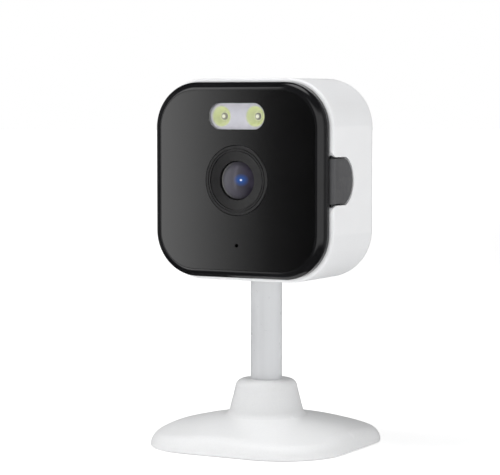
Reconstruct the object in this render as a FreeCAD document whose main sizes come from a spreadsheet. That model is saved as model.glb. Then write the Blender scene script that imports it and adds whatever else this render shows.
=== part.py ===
import FreeCAD, Part
import math
import os

import Sketcher
from FreeCAD import Placement, Rotation, Vector

# Indoor security camera on a pedestal: millimetres, +Z up, the lens looks along -Y, and the origin is on the
# ground at the middle of the foot. The pieces of the head are drawn in the head's own frame, whose origin is the
# point of the post's axis level with the lens, with X to the right, Y up and Z forward, out of the lens.

DIMENSIONS = {
    # housing
    "head_width": 52.0,
    "head_height": 53.2,
    "head_corner": 13.0,          # corner radius of the shell seen from the front
    "head_bottom": 44.5,          # underside of the shell above the ground
    "flange_front_room": 0.5,     # shell's front edge ahead of the ball socket's flange
    "flange_back_room": 0.2,      # between the flange and the shell's back wall
    "shell_wall": 2.0,
    "shell_back_wall": 2.2,
    "shell_back_round": 4.0,
    "shell_front_round": 1.0,
    "shell_lip": 1.0,             # how far the shell stands out past the black rim
    # black front
    "seal_gap": 0.3,              # gap between rim and shell that the seal fills
    "rim_depth": 4.0,
    "rim_round": 2.0,
    "rim_land": 0.2,              # flat of the rim between its rounding and the panel
    "front_wall": 1.5,
    "body_wall": 1.4,
    "body_back": 3.0,             # how far the inner body reaches behind the post's axis
    "fit_gap": 0.2,
    "panel_thickness": 1.5,
    "panel_gap": 0.1,
    # lens
    "ring_radius": 9.15,
    "ring_groove": 0.2,           # width of each fine groove in the ring
    "ring_groove_depth": 0.35,
    "glass_radius": 4.9,
    "element_radius": 3.85,       # the two lens elements behind the front one
    "iris_radius": 1.8,           # opening of the ring between the front and the middle element
    "barrel_radius": 6.0,
    "holder_size": 15.0,
    # spotlight, microphone and infrared lamps
    "light_height": 16.7,         # spotlight above the lens
    "light_length": 16.4,
    "light_width": 6.9,
    "led_spacing": 10.0,
    "cup_radius": 2.75,
    "cup_floor_radius": 1.35,
    "lamp_radius": 1.25,
    "mic_drop": 17.0,             # microphone below the lens
    "mic_radius": 2.0,
    "mic_hole_radius": 0.5,
    "infrared_x": 14.5,
    "infrared_y": 6.5,
    "infrared_dome": 1.4,
    "infrared_base": 3.5,
    # boards
    "board_front": 3.8,           # front face of the main board ahead of the post's axis
    "board_thickness": 1.2,
    "board_margin": 1.4,          # between a board's edge and the inner body
    "thin_board": 1.0,
    "boss_inset": 6.8,            # housing screws from the inside of the shell
    "boss_radius": 2.6,
    "screw_radius": 0.95,
    "screw_head_radius": 1.9,
    "screw_head_height": 1.6,
    "screw_seat_depth": 6.0,      # heads of the housing screws under the shell's back
    "holder_screw_x": 6.2,
    "holder_screw_y": 9.0,
    "chip_size": 10.0,
    "chip_offset": 1.5,
    # side cover over the card slot
    "cover_half_height": 5.85,
    "cover_end_radius": 6.3,
    "cover_end_centre": 7.0,      # centre of the cover's round end ahead of the post's axis
    "cover_front_gap": 0.3,
    "cover_gap": 0.4,
    "notch_mouth_round": 1.8,
    "cover_edge": 0.35,
    "cover_rib": 1.1,
    "cover_pin_radius": 0.4,
    "cover_pin_hold": 2.0,        # how far the pin goes into the shell past the cover
    "card_slot_half": 1.0,
    "card_slot_height": 11.6,
    "card_socket_height": 14.0,
    "card_socket_depth": 14.5,
    "card_socket_thickness": 1.6,
    "reset_forward": 8.8,
    "reset_radius": 1.1,
    "reset_flange": 0.6,          # the button's flange stands out past its stem
    "reset_gap": 0.9,             # between the button and the switch's body
    # rear
    "speaker_height": 11.0,
    "speaker_radius": 9.0,
    "grille_pitch": 2.6,
    "grille_hole_radius": 0.65,
    "usb_drop": 6.0,              # power socket below the lens
    "usb_width": 8.94,
    "usb_height": 3.26,
    "usb_length": 7.4,
    "usb_wall": 0.3,
    "usb_recess": 0.4,            # mouth of the power socket under the shell's back
    # ball joint
    "ball_radius": 6.5,
    "ball_rise": 7.5,             # ball centre above the underside of the shell
    "ball_clearance": 0.05,
    "liner_thickness": 0.95,
    "cup_wall": 1.4,
    "liner_below": 2.9,           # liner's lower edge below the ball's centre
    "liner_above": 4.2,
    "cup_lip": 3.6,               # cup's lower edge below the ball's centre
    "mouth_room": 0.9,            # opening in the shell's underside past the liner
    "socket_flange": 1.6,
    "socket_flange_width": 2.85,
    "socket_screw_inset": 1.4,    # socket screws outside the cup
    # post
    "post_radius": 4.2,
    "post_bore": 2.1,
    "post_low": 8.0,              # foot of the post above the ground
    "post_gap": 0.6,              # top of the post above the underside of the shell
    "shank_length": 12.0,
    "running_gap": 0.05,
    "collar_width": 2.2,
    "collar_height": 1.3,
    "washer_thickness": 0.3,
    # foot
    "foot_size": 54.8,
    "foot_corner": 17.4,
    "foot_dome_edge": 4.3,        # height of the dome over the middle of a side
    "dome_sphere": 93.0,          # radius of the dome
    "foot_round": 3.8,
    "foot_lift": 0.3,             # foot shell's lower edge above the ground
    "foot_wall": 1.8,
    "hub_top": 17.3,
    "hub_wall": 1.0,
    "hub_flare": 1.7,             # how much wider the hub is at its foot
    "hub_foot_round": 1.6,
    "hub_top_round": 2.2,
    "collar_room": 0.8,           # between the post's collar and the hub's bore
    "hub_cap": 2.7,               # thickness of the hub's top round the post
    "pad_thickness": 0.6,
    "plate_thickness": 1.2,
    "plate_margin": 2.9,          # base plate inside the foot's edge
    "ballast_gap": 0.4,
    "foot_screw_room": 1.05,      # between the base screws' bosses and the ballast's clearance
    "foot_screw_length": 3.8,
    "keyhole_inset": 4.3,
    "keyhole_head": 3.2,
    "keyhole_slot": 1.75,
    "keyhole_length": 6.0,
    "keyhole_roof": 3.8,          # roof over the keyholes above the ground
}

doc = FreeCAD.newDocument("SecurityCamera")
sheet = doc.addObject("Spreadsheet::Sheet", "Sizes")
made = []


class Size:
    """A length that knows its number and the spreadsheet expression that gives it."""

    def __init__(self, value, text):
        self.value = value
        self.text = text

    def __add__(self, other):
        other = size_of(other)
        return Size(self.value + other.value, f"({self.text} + {other.text})")

    def __sub__(self, other):
        other = size_of(other)
        return Size(self.value - other.value, f"({self.text} - {other.text})")

    def __mul__(self, other):
        other = size_of(other)
        return Size(self.value * other.value, f"({self.text} * {other.text})")

    def __truediv__(self, other):
        other = size_of(other)
        return Size(self.value / other.value, f"({self.text} / {other.text})")

    def __neg__(self):
        return Size(-self.value, f"(0 - {self.text})")

    def __radd__(self, other):
        return size_of(other) + self

    def __rsub__(self, other):
        return size_of(other) - self

    def __rmul__(self, other):
        return size_of(other) * self


def size_of(number):
    return number if isinstance(number, Size) else Size(float(number), f"({float(number)!r})")


def root(length):
    """Square root, for the chords of circles."""
    return Size(math.sqrt(length.value), f"sqrt({length.text})")


def chord(radius, offset):
    """Half the chord of a circle at that distance from its centre."""
    return root(radius * radius - offset * offset)


def read_sizes():
    """Writes the driving dimensions to the spreadsheet and returns them as Size objects."""
    for row, (alias, value) in enumerate(DIMENSIONS.items(), start=1):
        sheet.set(f"A{row}", alias.replace("_", " "))
        sheet.set(f"B{row}", str(value))
        sheet.setAlias(f"B{row}", alias)
    doc.recompute()
    return {alias: Size(float(sheet.get(alias)), f"Sizes.{alias}") for alias in DIMENSIONS}


S = read_sizes()


# ---------------------------------------------------------------- drawing helpers

class Piece:
    """A PartDesign body with short calls for sketches and features, all bound to the spreadsheet."""

    def __init__(self, label, frame="ground"):
        self.body = doc.addObject("PartDesign::Body", label)
        self.body.Label = label
        self.body.AllowCompound = True
        if frame == "head":
            self.body.Placement = Placement(Vector(0, 0, head_z.value), Rotation(Vector(1, 0, 0), 90))
            self.body.setExpression("Placement.Base.z", head_z.text)
        elif frame == "ball":
            self.body.Placement = Placement(Vector(0, 0, ball_z.value), Rotation())
            self.body.setExpression("Placement.Base.z", ball_z.text)
        made.append(self.body)

    def sketch(self, level=0, plane="XY"):
        """A new sketch on one of the body's planes, that far along the plane's normal."""
        drawing = self.body.newObject("Sketcher::SketchObject", "Sketch")
        origin = self.body.Origin.OriginFeatures
        support = [feature for feature in origin if feature.Role == plane + "_Plane"][0]
        drawing.AttachmentSupport = [(support, "")]
        drawing.MapMode = "FlatFace"
        drawing.AttachmentOffset = Placement(Vector(0, 0, size_of(level).value), Rotation())
        drawing.setExpression("AttachmentOffset.Base.z", size_of(level).text)
        return drawing

    def pad(self, drawing, length, reverse=False):
        return self.extrude("PartDesign::Pad", drawing, length, reverse)

    def pocket(self, drawing, length, reverse=False):
        return self.extrude("PartDesign::Pocket", drawing, length, reverse)

    def extrude(self, kind, drawing, length, reverse):
        feature = self.body.newObject(kind, kind.split("::")[1])
        feature.Profile = drawing
        feature.Length = size_of(length).value
        feature.setExpression("Length", size_of(length).text)
        feature.Reversed = reverse
        drawing.Visibility = False
        return feature

    def turn(self, drawing, cut=False):
        """A full revolution of a drawing on the XZ plane about the body's Z axis."""
        kind = "PartDesign::Groove" if cut else "PartDesign::Revolution"
        feature = self.body.newObject(kind, kind.split("::")[1])
        feature.Profile = drawing
        feature.ReferenceAxis = (drawing, ["V_Axis"])
        feature.Angle = 360
        return feature

    def loft(self, drawings, cut=False):
        kind = "PartDesign::SubtractiveLoft" if cut else "PartDesign::AdditiveLoft"
        feature = self.body.newObject(kind, kind.split("::")[1])
        feature.Profile = drawings[0]
        feature.Sections = drawings[1:]
        return feature

    def round_at(self, level, radius, kind="PartDesign::Fillet", axis="Z"):
        """Rounds or chamfers every edge that lies in one plane across the axis."""
        doc.recompute()
        shape = self.body.Tip.Shape
        names = []
        for number, edge in enumerate(shape.Edges, start=1):
            box = edge.BoundBox
            low, high = getattr(box, axis + "Min"), getattr(box, axis + "Max")
            if abs(low - level.value) < 0.01 and abs(high - level.value) < 0.01:
                names.append(f"Edge{number}")
        feature = self.body.newObject(kind, kind.split("::")[1])
        return self.dress(feature, names, radius)

    def round_above(self, level, radius):
        """Rounds the edges that run round the body above a level: those with no end on it or on the axis."""
        doc.recompute()
        names = []
        for number, edge in enumerate(self.body.Tip.Shape.Edges, start=1):
            ends = [vertex.Point for vertex in edge.Vertexes]
            if all(point.z > level.value + 0.01 and math.hypot(point.x, point.y) > 1 for point in ends):
                names.append(f"Edge{number}")
        feature = self.body.newObject("PartDesign::Fillet", "Fillet")
        return self.dress(feature, names, radius)

    def dress(self, feature, names, radius):
        feature.Base = (feature.BaseFeature, names)
        size = "Radius" if feature.TypeId.endswith("Fillet") else "Size"
        setattr(feature, size, radius.value)
        feature.setExpression(size, radius.text)
        return feature


def hold(drawing, kind, first, second, value):
    """Adds one dimension to a sketch and binds it to its expression."""
    number = drawing.addConstraint(Sketcher.Constraint(kind, *first, *second, value.value))
    drawing.setExpression(f"Constraints[{number}]", value.text)


def pin_point(drawing, geometry, position, x, y):
    hold(drawing, "DistanceX", (-1, 1), (geometry, position), size_of(x))
    hold(drawing, "DistanceY", (-1, 1), (geometry, position), size_of(y))


def circle(drawing, radius, x=0, y=0):
    x, y, radius = size_of(x), size_of(y), size_of(radius)
    shape = Part.Circle(Vector(x.value, y.value, 0), Vector(0, 0, 1), radius.value)
    number = drawing.addGeometry(shape, False)
    pin_point(drawing, number, 3, x, y)
    hold(drawing, "Radius", (number,), (), radius)


def arc_between(start, end, radius):
    """The shorter arc from start to end: turning left with a positive radius, and right with a negative one."""
    middle = (start + end) * 0.5
    half = (end - start).Length / 2
    rise = math.sqrt(max(radius * radius - half * half, 0.0))
    left = Vector(-(end - start).y, (end - start).x, 0).normalize()
    centre = middle + left * (rise if radius > 0 else -rise)
    sweep = Part.Circle(centre, Vector(0, 0, 1), abs(radius))
    first = math.atan2((start - centre).y, (start - centre).x)
    last = math.atan2((end - centre).y, (end - centre).x)
    return Part.ArcOfCircle(sweep, first, last) if radius > 0 else Part.ArcOfCircle(sweep, last, first)


def outline(drawing, corners):
    """A closed outline. Each corner is (x, y), or (x, y, radius) where an arc leads on to the next corner."""
    points = [Vector(size_of(c[0]).value, size_of(c[1]).value, 0) for c in corners]
    ends = []
    for number, corner in enumerate(corners):
        start, end = points[number], points[(number + 1) % len(points)]
        if len(corner) == 2:
            index = drawing.addGeometry(Part.LineSegment(start, end), False)
            ends.append((index, 1, 2))
            continue
        radius = size_of(corner[2])
        index = drawing.addGeometry(arc_between(start, end, radius.value), False)
        ends.append((index, 1, 2) if radius.value > 0 else (index, 2, 1))
        hold(drawing, "Radius", (index,), (), radius if radius.value > 0 else -radius)
    for number, (index, first, last) in enumerate(ends):
        following = ends[(number + 1) % len(ends)]
        drawing.addConstraint(Sketcher.Constraint("Coincident", index, last, following[0], following[1]))
        pin_point(drawing, index, first, corners[number][0], corners[number][1])


def rectangle(drawing, width, height, x=0, y=0):
    left, low = x - width / 2, y - height / 2
    right, high = x + width / 2, y + height / 2
    outline(drawing, [(left, low), (right, low), (right, high), (left, high)])


def rounded(drawing, width, height, radius, x=0, y=0):
    """A rectangle with round corners."""
    left, low = x - width / 2, y - height / 2
    right, high = x + width / 2, y + height / 2
    outline(drawing, [
        (left + radius, low), (right - radius, low, radius),
        (right, low + radius), (right, high - radius, radius),
        (right - radius, high), (left + radius, high, radius),
        (left, high - radius), (left, low + radius, radius),
    ])


def pill(drawing, length, width, x=0, y=0):
    """A slot with round ends along X. Each end is two quarter arcs."""
    reach, half = (length - width) / 2, width / 2
    outline(drawing, [
        (x - reach, y - half), (x + reach, y - half, half), (x + reach + half, y, half),
        (x + reach, y + half), (x - reach, y + half, half), (x - reach - half, y, half),
    ])


def turned(label, frame, corners):
    """A piece made by one revolution of an outline given as (radius, height)."""
    piece = Piece(label, frame)
    drawing = piece.sketch(plane="XZ")
    outline(drawing, corners)
    piece.turn(drawing)
    return piece


def plate(label, frame, draw, level, thickness):
    """A piece of one thickness. draw draws its outline on the sketch that it's given."""
    piece = Piece(label, frame)
    drawing = piece.sketch(level)
    draw(drawing)
    piece.pad(drawing, thickness)
    return piece


# ---------------------------------------------------------------- sizes that several pieces share

half_width = S["head_width"] / 2
half_height = S["head_height"] / 2
head_z = S["head_bottom"] + half_height
ball_z = S["head_bottom"] + S["ball_rise"]

liner_inner = S["ball_radius"] + S["ball_clearance"]
liner_outer = liner_inner + S["liner_thickness"]
cup_inner = liner_outer + S["ball_clearance"]
cup_outer = cup_inner + S["cup_wall"]
mouth_radius = liner_outer + S["mouth_room"]          # opening in the shell's underside
flange_radius = cup_outer + S["socket_flange_width"]
flange_low = S["shell_wall"] - S["ball_rise"]         # top of the shell's floor, from the ball's centre
shell_front = flange_radius + S["flange_front_room"]  # front edge of the shell ahead of the post's axis
shell_back = flange_radius + S["flange_back_room"] + S["shell_back_wall"]

rim_back = shell_front + S["seal_gap"]
face = rim_back + S["rim_depth"]                      # front surface of the camera
rim_width = S["head_width"] - 2 * S["shell_lip"]
rim_height = S["head_height"] - 2 * S["shell_lip"]
rim_corner = S["head_corner"] - S["shell_lip"]
panel_inset = S["rim_round"] + S["rim_land"]
panel_width = rim_width - 2 * panel_inset
panel_height = rim_height - 2 * panel_inset
panel_corner = rim_corner - panel_inset
panel_back = face - S["panel_thickness"]
front_inside = panel_back - S["front_wall"]

cavity_width = S["head_width"] - 2 * S["shell_wall"]
cavity_height = S["head_height"] - 2 * S["shell_wall"]
cavity_corner = S["head_corner"] - S["shell_wall"]
body_width = cavity_width - 2 * S["fit_gap"]
body_height = cavity_height - 2 * S["fit_gap"]
body_corner = cavity_corner - S["fit_gap"]
inner_width = body_width - 2 * S["body_wall"]
inner_height = body_height - 2 * S["body_wall"]
inner_corner = body_corner - S["body_wall"]
shell_inside_back = shell_back - S["shell_back_wall"]

touch = 0.01                                          # a hair between faces that rest on each other
slip = 0.1                                            # easy fit of one piece round another
thread_fit = 0.03                                     # between a screw and the boss that it bites
screw_clearance = 0.2                                 # between a screw and a hole that it passes
past = 1.0                                            # how far a cut runs past the surface that it opens

board_back = S["board_front"] - S["board_thickness"]
board_width = inner_width - 2 * S["board_margin"]
board_height = inner_height - 2 * S["board_margin"]
boss_x = cavity_width / 2 - S["boss_inset"]
boss_y = cavity_height / 2 - S["boss_inset"]
boss_places = [(boss_x * sx, boss_y * sy) for sx in (-1, 1) for sy in (-1, 1)]
infrared_places = [(S["infrared_x"] * sx, S["infrared_y"] * sy) for sx in (-1, 1) for sy in (-1, 1)]
lamp_places = [(S["led_spacing"] / 2 * side, S["light_height"]) for side in (-1, 1)]
holder_screw_places = [(S["holder_screw_x"] * side, S["holder_screw_y"]) for side in (-1, 1)]
reflector_low = front_inside - 0.4
infrared_board_front = front_inside - 1.6

filter_depth = size_of(3.8)                           # depth of the night filter's frame
lens_low = S["board_front"] + filter_depth + 0.6
lens_front = panel_back - slip
element_gap = 0.05
lens_bore = S["element_radius"] + element_gap
rear_seat, rear_edge, rear_rise = lens_low + 1.2 + touch, size_of(0.6), size_of(0.45)
middle_seat, middle_edge, middle_rise = lens_low + 3.2, size_of(0.8), size_of(0.6)
front_edge, front_rise = size_of(1.5), size_of(1.0)
front_stand = size_of(0.6)                            # front lens's edge above the barrel
front_seat = lens_front - front_edge - 2 * touch

post_top = S["head_bottom"] + S["post_gap"]
collar_radius = S["post_radius"] + S["collar_width"]
collar_top = S["hub_top"] - S["hub_cap"] - 2 * S["running_gap"]
collar_low = collar_top - S["collar_height"]
washer_low = S["post_low"] - 0.6                      # underside of the thrust washer
hub_bore = collar_radius + S["collar_room"]
hub_slim = hub_bore + S["hub_wall"]
hub_wide = hub_slim + S["hub_flare"]

plate_size = S["foot_size"] - 2 * S["plate_margin"]
plate_corner = S["foot_corner"] - S["plate_margin"]
plate_low = S["pad_thickness"] + touch
plate_top = plate_low + S["plate_thickness"]
keyhole_offset = plate_size / 2 - S["keyhole_inset"]
ballast_radius = keyhole_offset - S["keyhole_head"] - S["ballast_gap"]
foot_screw_reach = ballast_radius + S["ballast_gap"] + S["boss_radius"] + S["foot_screw_room"]
diagonal = 0.70711                                    # share of a corner's reach along each side
foot_screw_offset = foot_screw_reach * diagonal
foot_screw_places = [(foot_screw_offset * sx, foot_screw_offset * sy) for sx in (-1, 1) for sy in (-1, 1)]

hinge_forward = rim_back - S["cover_front_gap"] - S["shell_wall"] / 2
hinge_across = half_width - S["shell_wall"] / 2
cover_pin_end = S["cover_half_height"] + S["cover_pin_hold"]
cover_inside = half_width - S["shell_wall"]
notch_half = S["cover_half_height"] + S["cover_gap"]
notch_radius = S["cover_end_radius"] + S["cover_gap"]
body_side = body_width / 2                            # outer face of the inner body's side wall
card_forward = S["board_front"] + touch + S["card_socket_thickness"] / 2


# ---------------------------------------------------------------- housing

def rear_shell():
    """White shell: a cup open at the front, with the side notch, the ball's opening and the rear openings."""
    piece = Piece("rear_shell", "head")
    drawing = piece.sketch(-shell_back)
    rounded(drawing, S["head_width"], S["head_height"], S["head_corner"])
    piece.pad(drawing, shell_back + shell_front)
    piece.round_at(-shell_back, S["shell_back_round"])
    piece.round_at(shell_front, S["shell_front_round"])

    drawing = piece.sketch(shell_front)
    rounded(drawing, cavity_width, cavity_height, cavity_corner)
    piece.pocket(drawing, shell_front + shell_inside_back)

    boss_front = board_back - slip
    boss_wall = 0.4                                   # the shell's bosses are this much fatter
    usb_post_radius = 1.1
    post_x = S["usb_width"] / 2 + usb_post_radius + 0.5
    drawing = piece.sketch(-shell_inside_back)
    for x, y in boss_places:
        circle(drawing, S["boss_radius"] + boss_wall, x, y)
    piece.pad(drawing, shell_inside_back + boss_front)
    drawing = piece.sketch(-shell_inside_back)
    for side in (-1, 1):
        circle(drawing, usb_post_radius, post_x * side, -S["usb_drop"])
    piece.pad(drawing, shell_inside_back + usb_board_back() - touch)

    drawing = piece.sketch(boss_front)
    for x, y in boss_places:
        circle(drawing, S["screw_radius"] + screw_clearance, x, y)
    piece.pocket(drawing, shell_back + boss_front)
    drawing = piece.sketch(-shell_back)
    for x, y in boss_places:
        circle(drawing, S["screw_head_radius"] + screw_clearance, x, y)
    piece.pocket(drawing, S["screw_seat_depth"], reverse=True)

    cut_side_notch(piece)

    drawing = piece.sketch(half_height + past, plane="XZ")
    circle(drawing, mouth_radius)
    piece.pocket(drawing, S["shell_wall"] + past + 0.5)
    drawing = piece.sketch(cavity_height / 2, plane="XZ")
    for x, z in socket_screw_places():
        circle(drawing, 0.8, x, z)
    piece.pocket(drawing, S["shell_wall"] - 0.5, reverse=True)

    drawing = piece.sketch(-shell_back)
    around = 0.6                                      # the power socket's opening is this much larger
    pill(drawing, S["usb_width"] + around, S["usb_height"] + around, 0, -S["usb_drop"])
    for x, y in grille_places():
        circle(drawing, S["grille_hole_radius"], x, y)
    piece.pocket(drawing, S["shell_back_wall"] + 0.5, reverse=True)
    return piece


def cut_side_notch(piece):
    """The D-shaped notch in the shell's right-hand edge, with a flared mouth."""
    mouth = S["notch_mouth_round"]
    turn_in = shell_front - mouth
    bend = S["cover_end_centre"] - chord(notch_radius, notch_half)
    beyond = shell_front + past
    drawing = piece.sketch(half_width + past, plane="YZ")
    outline(drawing, [
        (-notch_half - mouth, beyond), (-notch_half - mouth, shell_front, -mouth),
        (-notch_half, turn_in), (-notch_half, bend, notch_radius),
        (notch_half, bend), (notch_half, turn_in, -mouth),
        (notch_half + mouth, shell_front), (notch_half + mouth, beyond),
    ])
    piece.pocket(drawing, S["shell_wall"] + past + S["fit_gap"] / 2)
    end = cover_pin_end + slip
    drawing = piece.sketch(end, plane="XZ")
    circle(drawing, S["cover_pin_radius"] + 2 * touch, hinge_across, hinge_forward)
    piece.pocket(drawing, end * 2)


def socket_screw_places():
    """Three screws round the ball socket, as (across, forward)."""
    turns = [math.radians(angle) for angle in (90, 210, 330)]
    screw_circle = cup_outer + S["socket_screw_inset"]
    return [(screw_circle * math.cos(a), screw_circle * math.sin(a)) for a in turns]


def grille_places():
    """Speaker holes: one in the middle and two rings round it."""
    places = [(size_of(0), S["speaker_height"])]
    for ring, count in ((1, 6), (2, 12)):
        for step in range(count):
            turn = 2 * math.pi * step / count
            reach = S["grille_pitch"] * ring
            places.append((reach * math.cos(turn), S["speaker_height"] + reach * math.sin(turn)))
    return places


def front_body():
    """Black inner body: the rounded rim seen from the front and the tray behind it that carries the boards."""
    piece = Piece("front_body", "head")
    drawing = piece.sketch(rim_back)
    rounded(drawing, rim_width, rim_height, rim_corner)
    piece.pad(drawing, S["rim_depth"])
    piece.round_at(face, S["rim_round"])

    drawing = piece.sketch(-S["body_back"])
    rounded(drawing, body_width, body_height, body_corner)
    piece.pad(drawing, S["body_back"] + rim_back)
    drawing = piece.sketch(-S["body_back"])
    rounded(drawing, inner_width, inner_height, inner_corner)
    piece.pocket(drawing, S["body_back"] + front_inside, reverse=True)

    drawing = piece.sketch(face)
    gap = S["panel_gap"]
    rounded(drawing, panel_width + 2 * gap, panel_height + 2 * gap, panel_corner + gap)
    piece.pocket(drawing, S["panel_thickness"])

    reflector_room = 0.5
    infrared_hole = 2.6
    drawing = piece.sketch(panel_back)
    circle(drawing, lens_opening)
    pill(drawing, S["light_length"] + 2 * reflector_room, S["light_width"] + 2 * reflector_room,
         0, S["light_height"])
    circle(drawing, S["mic_hole_radius"] + 0.4, 0, -S["mic_drop"])
    for x, y in infrared_places:
        circle(drawing, infrared_hole, x, y)
    piece.pocket(drawing, S["front_wall"] + 0.5)

    drawing = piece.sketch(S["board_front"])
    for x, y in boss_places:
        circle(drawing, S["boss_radius"], x, y)
    piece.pad(drawing, front_inside - S["board_front"])
    drawing = piece.sketch(S["board_front"])
    for x, y in boss_places:
        circle(drawing, S["screw_radius"] + thread_fit, x, y)
    piece.pocket(drawing, screw_reach + past, reverse=True)

    stand_radius = 1.2
    drawing = piece.sketch(infrared_board_front + touch)
    for sx in (-1, 1):
        for sy in (-1, 1):
            x = (infrared_board_width / 2 - stand_radius - 0.6) * sx
            y = (infrared_board_height / 2 - stand_radius - 0.6) * sy
            circle(drawing, stand_radius, x, y)
    piece.pad(drawing, front_inside - infrared_board_front)

    drawing = piece.sketch(body_side + 0.5, plane="YZ")
    rectangle(drawing, S["card_slot_height"], 2 * S["card_slot_half"], 0, card_forward)
    circle(drawing, S["reset_radius"] + 0.15, 0, S["reset_forward"])
    piece.pocket(drawing, S["body_wall"] + past)

    room = flange_radius + 0.8                        # the ball socket's flange passes the inner body here
    drawing = piece.sketch(body_height / 2 + 0.5, plane="XZ")
    outline(drawing, [(-room, -S["body_back"] - past), (room, -S["body_back"] - past), (room, room), (-room, room)])
    piece.pocket(drawing, S["body_wall"] + past)
    return piece


lens_opening = S["barrel_radius"] + 1.4
screw_reach = size_of(6.5)                            # how far the housing screws go into the inner body
infrared_board_width = inner_width - 3.8
infrared_board_height = size_of(20.5)


def front_panel():
    """Smoked flat window that fills the rim."""
    piece = Piece("front_panel", "head")
    drawing = piece.sketch(panel_back)
    rounded(drawing, panel_width, panel_height, panel_corner)
    circle(drawing, S["ring_radius"] + slip)
    pill(drawing, S["light_length"] + 2 * slip, S["light_width"] + 2 * slip, 0, S["light_height"])
    circle(drawing, S["mic_hole_radius"], 0, -S["mic_drop"])
    piece.pad(drawing, S["panel_thickness"])
    return piece


def housing_seal():
    """Thin gasket between the rim and the shell's front edge."""
    inset = 0.25
    def draw(drawing):
        rounded(drawing, rim_width - 2 * inset, rim_height - 2 * inset, rim_corner - inset)
        rounded(drawing, body_width + slip, body_height + slip, body_corner + slip / 2)
    return plate("housing_seal", "head", draw, shell_front + touch, S["seal_gap"] - 2 * touch)


def housing_screws():
    """Four long screws from the back that clamp the shell, the main board and the inner body."""
    piece = Piece("housing_screws", "head")
    seat = S["screw_seat_depth"] - shell_back
    under = seat - S["screw_head_height"]
    drawing = piece.sketch(under)
    for x, y in boss_places:
        circle(drawing, S["screw_head_radius"], x, y)
    piece.pad(drawing, S["screw_head_height"])
    drawing = piece.sketch(seat)
    for x, y in boss_places:
        circle(drawing, S["screw_radius"], x, y)
    piece.pad(drawing, S["board_front"] + screw_reach - seat)
    slot_length, slot_width, slot_depth = size_of(2.4), size_of(0.5), 0.8
    drawing = piece.sketch(under)
    for x, y in boss_places:
        rectangle(drawing, slot_length, slot_width, x, y)
    piece.pocket(drawing, slot_depth, reverse=True)
    return piece


def screw_caps():
    """Four plugs over the housing screws, just below the shell's back."""
    def draw(drawing):
        for x, y in boss_places:
            circle(drawing, S["screw_head_radius"] + screw_clearance * 0.75, x, y)
    return plate("screw_caps", "head", draw, -shell_back + slip, size_of(1.4))


# ---------------------------------------------------------------- side cover and what it hides

def side_cover():
    """Charcoal cover in the shell's notch: a hinge barrel in front, a round end, and a rib for the card slot."""
    piece = Piece("side_cover", "head")
    half = S["cover_half_height"]
    bend = S["cover_end_centre"] - chord(S["cover_end_radius"], half)
    drawing = piece.sketch(cover_inside, plane="YZ")
    outline(drawing, [(-half, hinge_forward), (-half, bend, S["cover_end_radius"]), (half, bend),
                      (half, hinge_forward)])
    piece.pad(drawing, S["shell_wall"])
    piece.round_at(half_width, S["cover_edge"], kind="PartDesign::Chamfer", axis="X")
    drawing = piece.sketch(half, plane="XZ")
    circle(drawing, S["shell_wall"] / 2, hinge_across, hinge_forward)
    piece.pad(drawing, half * 2, reverse=True)
    drawing = piece.sketch(cover_inside, plane="YZ")
    rib_room = 0.6
    rectangle(drawing, S["card_slot_height"] - 2 * rib_room, S["card_slot_half"], 0, card_forward)
    piece.pad(drawing, S["cover_rib"], reverse=True)
    drawing = piece.sketch(half + past, plane="XZ")
    circle(drawing, S["cover_pin_radius"] + S["running_gap"], hinge_across, hinge_forward)
    piece.pocket(drawing, (half + past) * 2)
    return piece


def cover_pin():
    """Steel pin of the side cover, pressed into the shell above and below the notch."""
    piece = Piece("cover_pin", "head")
    drawing = piece.sketch(cover_pin_end, plane="XZ")
    circle(drawing, S["cover_pin_radius"], hinge_across, hinge_forward)
    piece.pad(drawing, cover_pin_end * 2, reverse=True)
    return piece


def card_socket():
    """Memory card socket on the main board, open towards the side cover."""
    piece = Piece("card_socket", "head")
    mouth = body_side - S["body_wall"] - 0.4
    card_width, card_height, end_wall = size_of(11.3), size_of(0.9), 0.8
    drawing = piece.sketch(mouth - S["card_socket_depth"], plane="YZ")
    rectangle(drawing, S["card_socket_height"], S["card_socket_thickness"], 0, card_forward)
    piece.pad(drawing, S["card_socket_depth"])
    drawing = piece.sketch(mouth, plane="YZ")
    rectangle(drawing, card_width, card_height, 0, card_forward)
    piece.pocket(drawing, S["card_socket_depth"] - end_wall)
    return piece


def reset_button():
    """Plunger in the inner body's side, pressed inwards against its switch."""
    piece = Piece("reset_button", "head")
    flange_thickness = 0.7
    flange_inside = body_side - S["body_wall"] - flange_thickness - slip
    drawing = piece.sketch(flange_inside, plane="YZ")
    circle(drawing, S["reset_radius"], 0, S["reset_forward"])
    piece.pad(drawing, S["body_wall"] + flange_thickness)
    drawing = piece.sketch(flange_inside, plane="YZ")
    circle(drawing, S["reset_radius"] + S["reset_flange"], 0, S["reset_forward"])
    piece.pad(drawing, flange_thickness)
    return piece


def reset_switch():
    """Right-angle tact switch over the card socket, behind the reset button."""
    piece = Piece("reset_switch", "head")
    length, width, above_button = 3.0, size_of(3.6), 1.2
    plunger_radius, plunger_length = 0.6, 0.25
    low = S["board_front"] + S["card_socket_thickness"] + slip
    tall = S["reset_forward"] + above_button - low
    face_x = body_side - S["body_wall"] - 1.0 - S["reset_gap"]
    drawing = piece.sketch(face_x - length, plane="YZ")
    rectangle(drawing, width, tall, 0, low + tall / 2)
    piece.pad(drawing, length)
    drawing = piece.sketch(face_x, plane="YZ")
    circle(drawing, plunger_radius, 0, S["reset_forward"])
    piece.pad(drawing, plunger_length)
    return piece


# ---------------------------------------------------------------- lens and night filter

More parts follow.
